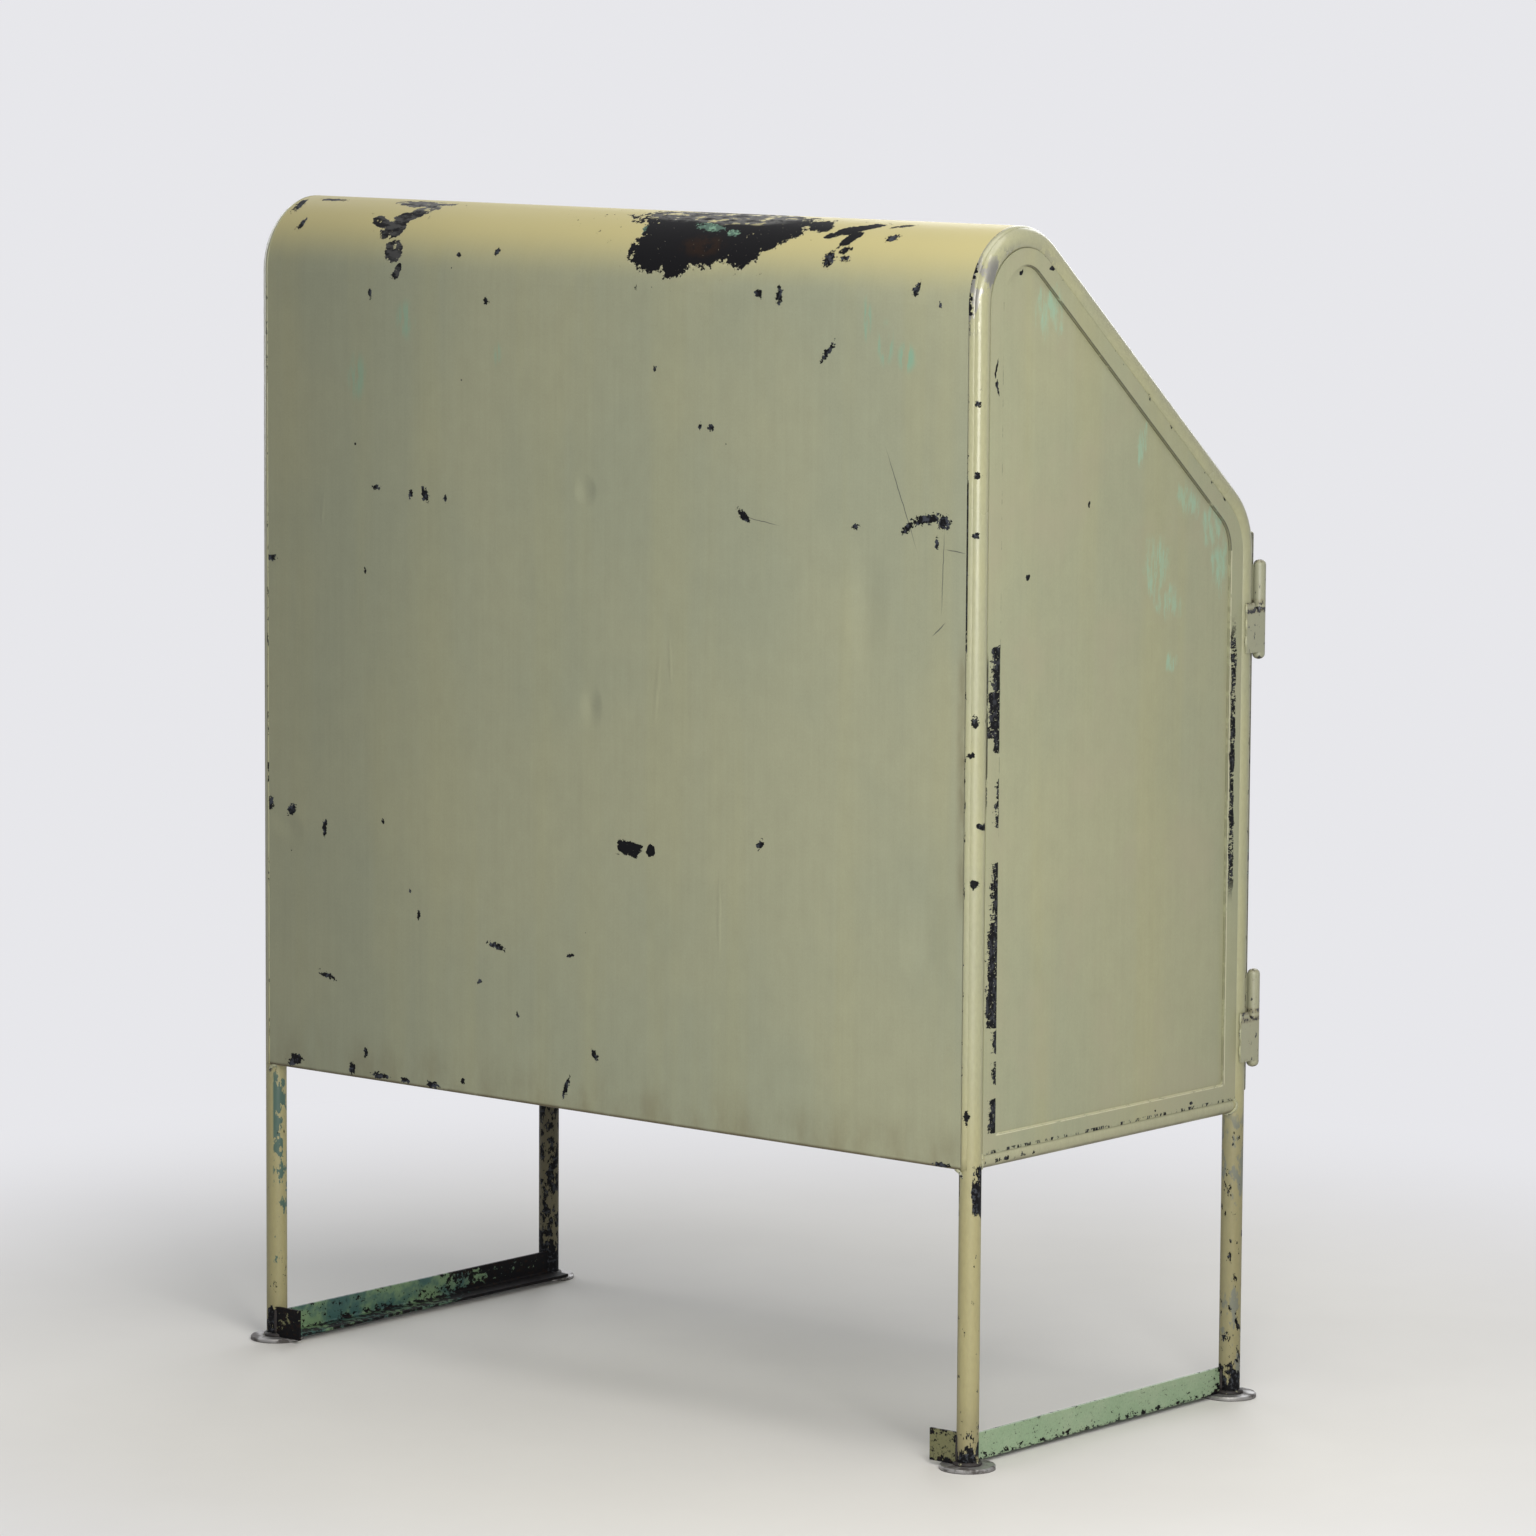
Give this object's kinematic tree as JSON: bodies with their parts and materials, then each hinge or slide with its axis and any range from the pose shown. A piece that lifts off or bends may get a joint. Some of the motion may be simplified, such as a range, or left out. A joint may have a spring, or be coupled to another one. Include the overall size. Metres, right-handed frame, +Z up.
{
  "type": "locker cabinet",
  "caption": "Free-standing steel locker cabinet on a bent tube frame with a sloping top, hinged doors with turn latches, shelves inside and low angle runners between the feet.",
  "frame": {"origin": "on the floor, under the middle of the whole object's box", "axes": "+Z up, +X to the right seen from the doors, +Y towards the back, so the doors face -Y"},
  "size_m": [0.954, 0.497, 1.171],
  "materials": {
    "cabinet_paint": "worn semi-gloss grey-green paint",
    "runner_paint": "chipped pale green paint",
    "bare_steel": "dull bare steel",
    "latch_steel": "worn nickel-like steel",
    "rubber": "matt"
  },
  "bodies": {
    "cabinet": {"front_rail": "cabinet_paint", "wrap_sheet": "cabinet_paint", "floor_pan": "cabinet_paint", "center_post": "cabinet_paint", "partition": "cabinet_paint", "door_buffers": "rubber", "left_tube_hoop": "cabinet_paint", "left_side_rail": "cabinet_paint", "left_side_panel": "cabinet_paint", "left_shelf": "cabinet_paint", "left_outer_bearer": "cabinet_paint", "left_inner_bearer": "cabinet_paint", "left_base_runner": "runner_paint", "left_runner_stop": "runner_paint", "left_rear_foot": "bare_steel", "left_front_foot": "bare_steel", "left_lower_frame_leaf": "cabinet_paint", "left_lower_hinge_pin": "bare_steel", "left_upper_frame_leaf": "cabinet_paint", "left_upper_hinge_pin": "bare_steel", "right_tube_hoop": "cabinet_paint", "right_side_rail": "cabinet_paint", "right_side_panel": "cabinet_paint", "right_shelf": "cabinet_paint", "right_outer_bearer": "cabinet_paint", "right_inner_bearer": "cabinet_paint", "right_base_runner": "runner_paint", "right_runner_stop": "runner_paint", "right_rear_foot": "bare_steel", "right_front_foot": "bare_steel", "right_lower_frame_leaf": "cabinet_paint", "right_lower_hinge_pin": "bare_steel", "right_upper_frame_leaf": "cabinet_paint", "right_upper_hinge_pin": "bare_steel"},
    "left_door": {"left_door_panel": "cabinet_paint", "left_door_stiffener": "cabinet_paint", "left_lower_door_leaf": "cabinet_paint", "left_upper_door_leaf": "cabinet_paint", "left_latch_rose": "latch_steel", "left_latch_nut": "latch_steel"},
    "left_latch": {"left_latch_knob": "latch_steel", "left_latch_cam": "latch_steel"},
    "right_door": {"right_door_panel": "cabinet_paint", "right_door_stiffener": "cabinet_paint", "right_lower_door_leaf": "cabinet_paint", "right_upper_door_leaf": "cabinet_paint", "right_latch_rose": "latch_steel", "right_latch_nut": "latch_steel"},
    "right_latch": {"right_latch_knob": "latch_steel", "right_latch_cam": "latch_steel"}
  },
  "joints": [
    {"name": "left_door_swing", "type": "hinge", "parent": "cabinet", "child": "left_door", "pos_m": [-0.45675, -0.2225, 0.58215], "axis": [0, 0, -1], "range_deg": [0, 165]},
    {"name": "right_door_swing", "type": "hinge", "parent": "cabinet", "child": "right_door", "pos_m": [0.45675, -0.2225, 0.58215], "axis": [0, 0, 1], "range_deg": [0, 165]},
    {"name": "left_latch_turn", "type": "hinge", "parent": "left_door", "child": "left_latch", "pos_m": [-0.0395, -0.2225, 0.6003], "axis": [0, 1, 0], "range_deg": [0, 90]},
    {"name": "right_latch_turn", "type": "hinge", "parent": "right_door", "child": "right_latch", "pos_m": [0.0395, -0.2225, 0.6003], "axis": [0, -1, 0], "range_deg": [0, 90]}
  ]
}
